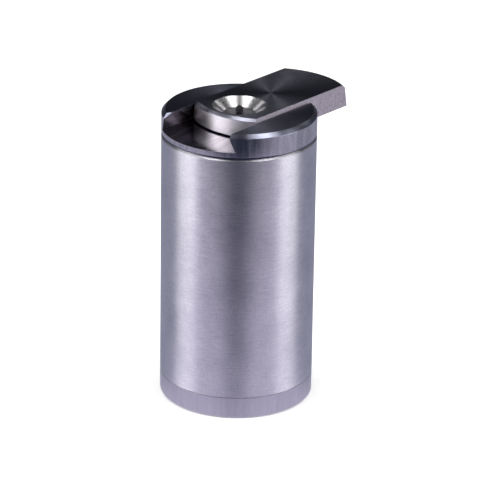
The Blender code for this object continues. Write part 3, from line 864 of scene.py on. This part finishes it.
def toward(azimuth, elevation):
    """Unit direction from the object, the azimuth counted from the camera to its right, in degrees."""
    a, e = math.radians(azimuth), math.radians(elevation)
    return TO_FRAME @ Vector((math.sin(a) * math.cos(e), -math.cos(a) * math.cos(e), math.sin(e)))


def softbox(name, azimuth, elevation, width, height, brightness):
    light = bpy.data.lights.new(name, "AREA")
    light.shape = "RECTANGLE"
    light.size = width
    light.size_y = height
    light.energy = brightness * math.pi * width * height
    light.color = SOFTBOX_COLOUR
    obj = bpy.data.objects.new(name, light)
    obj.location = AIM + toward(azimuth, elevation) * SOFTBOX_DISTANCE
    obj.rotation_mode = "QUATERNION"
    obj.rotation_quaternion = (obj.location - AIM).to_track_quat("Z", "Y")
    bpy.context.scene.collection.objects.link(obj)


def bench_glow():
    """The bench as the metal sees it: pale round the base, dark in a wedge that widens toward the camera.

    facing is 1 straight toward the camera. The wedge's two edges are values of it, near and far off.
    """
    finish = Finish("bench_glow", 0.0, Base_Color=(0.0, 0.0, 0.0, 1.0), Specular_IOR_Level=0.0,
                    Emission_Strength=1.0)
    place = finish.place()
    distance = finish.vector("LENGTH", place)
    facing = finish.node("VectorMath", {0: finish.vector("NORMALIZE", place), 1: toward(0, 0)},
                         operation="DOT_PRODUCT").outputs["Value"]
    full_depth_at, fade = 0.11, 0.65
    depth = finish.math("POWER", finish.math("DIVIDE", distance, full_depth_at), fade)
    widen = finish.step(distance, 0.125, 0.148)
    edges = []
    for near, far, widening in ((0.94, 0.81, 0.33), (1.03, 0.985, 0.04)):
        edge = finish.node("MapRange", {
            "Value": distance, "From Min": 0.07, "From Max": 0.13, "To Min": near, "To Max": far,
        }).outputs["Result"]
        edges.append(finish.math("SUBTRACT", edge, finish.math("MULTIPLY", widen, widening)))
    front = finish.math("MULTIPLY", finish.step(facing, *edges), finish.math("MINIMUM", depth, 1.0))
    sides = finish.mix(finish.step(facing, -0.1, 0.5), BENCH_BACK, BENCH_SIDE)
    around = finish.mix(finish.step(distance, 0.0, 0.03), BENCH_NEAR, sides)
    finish.put(finish.shader.inputs["Emission Color"], finish.mix(front, around, BENCH_FRONT))
    return finish.material


def sheet(name, half, z, material):
    """A flat square studio sheet, laid out in the camera's right and depth."""
    bm = bmesh.new()
    corners = ((-half, -half), (half, -half), (half, half), (-half, half))
    bm.faces.new([bm.verts.new(TO_FRAME @ Vector((x, y, z))) for x, y in corners])
    obj = to_object(name, bm)
    obj.data.materials.append(material)
    return obj


def studio():
    floor_finish = Finish("floor", 0.0, Specular_IOR_Level=0.0)
    paper = floor_finish.noise(floor_finish.place(), 900.0)
    floor_finish.put(floor_finish.shader.inputs["Base Color"],
                     floor_finish.colours(paper, (0.90, 0.90, 0.90), (0.92, 0.92, 0.92)))
    floor = sheet("floor", SHEET_HALF, FLOOR_Z, floor_finish.material)
    floor.visible_glossy = False
    bench = sheet("bench_glow", BENCH_HALF, BENCH_Z, bench_glow())
    bench.visible_camera = False
    bench.visible_diffuse = False
    bench.visible_transmission = False
    bench.visible_shadow = False
    for row in SOFTBOXES:
        softbox(*row)
    sky()
    settings = bpy.context.scene.view_settings
    settings.view_transform = "Standard"
    settings.look = "None"


def sky():
    world = bpy.data.worlds.new("studio")
    bpy.context.scene.world = world
    world.use_nodes = True
    tree = world.node_tree
    tree.nodes.clear()
    rays = tree.nodes.new("ShaderNodeLightPath")
    pale = tree.nodes.new("ShaderNodeBackground")
    pale.inputs["Color"].default_value = (*SKY_COLOUR, 1.0)
    pale.inputs["Strength"].default_value = SKY_STRENGTH
    dark = tree.nodes.new("ShaderNodeBackground")
    dark.inputs["Color"].default_value = (*MIRRORED_SKY_COLOUR, 1.0)
    dark.inputs["Strength"].default_value = MIRRORED_SKY_STRENGTH
    mix = tree.nodes.new("ShaderNodeMixShader")
    out = tree.nodes.new("ShaderNodeOutputWorld")
    tree.links.new(rays.outputs["Is Glossy Ray"], mix.inputs["Fac"])
    tree.links.new(pale.outputs[0], mix.inputs[1])
    tree.links.new(dark.outputs[0], mix.inputs[2])
    tree.links.new(mix.outputs[0], out.inputs["Surface"])


def camera():
    barrel_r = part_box("body_tube")[1].x
    level = math.cos(CAMERA_PITCH)
    ahead = Vector((math.sin(CAMERA_YAW) * level, math.cos(CAMERA_YAW) * level, -math.sin(CAMERA_PITCH)))
    right = Vector((math.cos(CAMERA_YAW), -math.sin(CAMERA_YAW), 0.0))
    up = right.cross(ahead)
    cosine, sine = math.cos(CAMERA_ROLL), math.sin(CAMERA_ROLL)
    right, up = right * cosine + up * sine, up * cosine - right * sine
    data = bpy.data.cameras.new("camera")
    data.lens = LENS
    data.sensor_width = SENSOR
    data.clip_start = 0.01
    data.clip_end = 20.0
    obj = bpy.data.objects.new("camera", data)
    axes = Matrix((TO_FRAME @ right, TO_FRAME @ up, TO_FRAME @ -ahead)).transposed()
    stand = TO_FRAME @ Vector((0.0, -CAMERA_BACK * barrel_r, CAMERA_UP * barrel_r))
    obj.matrix_world = Matrix.Translation(stand) @ axes.to_4x4()
    bpy.context.scene.collection.objects.link(obj)
    bpy.context.scene.camera = obj


studio()
camera()
